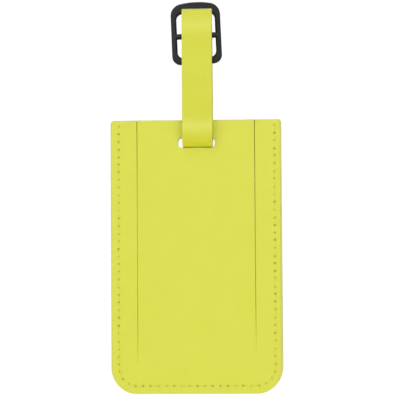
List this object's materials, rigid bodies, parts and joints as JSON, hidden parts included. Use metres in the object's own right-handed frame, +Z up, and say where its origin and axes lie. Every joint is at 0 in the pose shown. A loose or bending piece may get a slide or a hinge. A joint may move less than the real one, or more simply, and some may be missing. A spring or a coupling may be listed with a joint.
{
  "type": "luggage tag",
  "caption": "Luggage tag: sewn leather-like sleeve with a front flap over a card pocket, hung on a threaded strap with a slide buckle.",
  "frame": {"origin": "middle of the handle loop, the space between the strap's two legs just above the tag", "axes": "+Z up along the strap towards the buckle, -Y out of the tag's front, +X to the right seen from the front"},
  "size_m": [0.069, 0.013, 0.1584],
  "materials": {
    "lime_leather": "fine grain, satin",
    "strap_leather": "fine grain, satin",
    "clear_film": "clear flexible film",
    "card_paper": "uncoated",
    "lining_cloth": "thin woven lining",
    "board": "grey board",
    "thread": "twisted polyester thread",
    "black_plastic": "moulded, satin"
  },
  "bodies": {
    "strap": {"strap_outer_ply": "strap_leather", "strap_inner_ply": "strap_leather", "strap_end_stitches": "thread"},
    "tag": {"front_frame": "lime_leather", "card_window": "clear_film", "pocket_lining": "lining_cloth", "stiffener_board": "board", "back_cover": "lime_leather", "front_seam_stitches": "thread", "back_seam_stitches": "thread"},
    "flap": {"front_flap": "lime_leather"},
    "card": {"address_card": "card_paper"},
    "buckle": {"buckle_frame": "black_plastic"}
  },
  "joints": [
    {"name": "tag_swing", "type": "hinge", "parent": "strap", "child": "tag", "pos_m": [0, 0, -0.0135], "axis": [-1, 0, 0], "range_deg": [-14, 35]},
    {"name": "flap_hinge", "type": "hinge", "parent": "tag", "child": "flap", "pos_m": [0, -0.00162, -0.106], "axis": [1, 0, 0], "range_deg": [0, 1], "stiffness_Nm_per_rad": 0.01},
    {"name": "card_slide", "type": "slide", "parent": "tag", "child": "card", "axis": [0, 0, 1], "range_m": [0, 0.003]},
    {"name": "buckle_pivot", "type": "hinge", "parent": "strap", "child": "buckle", "pos_m": [0.00045, 0, 0.0257], "axis": [0.999, 0.0068, 0.0431], "range_deg": [-3, 3]}
  ]
}
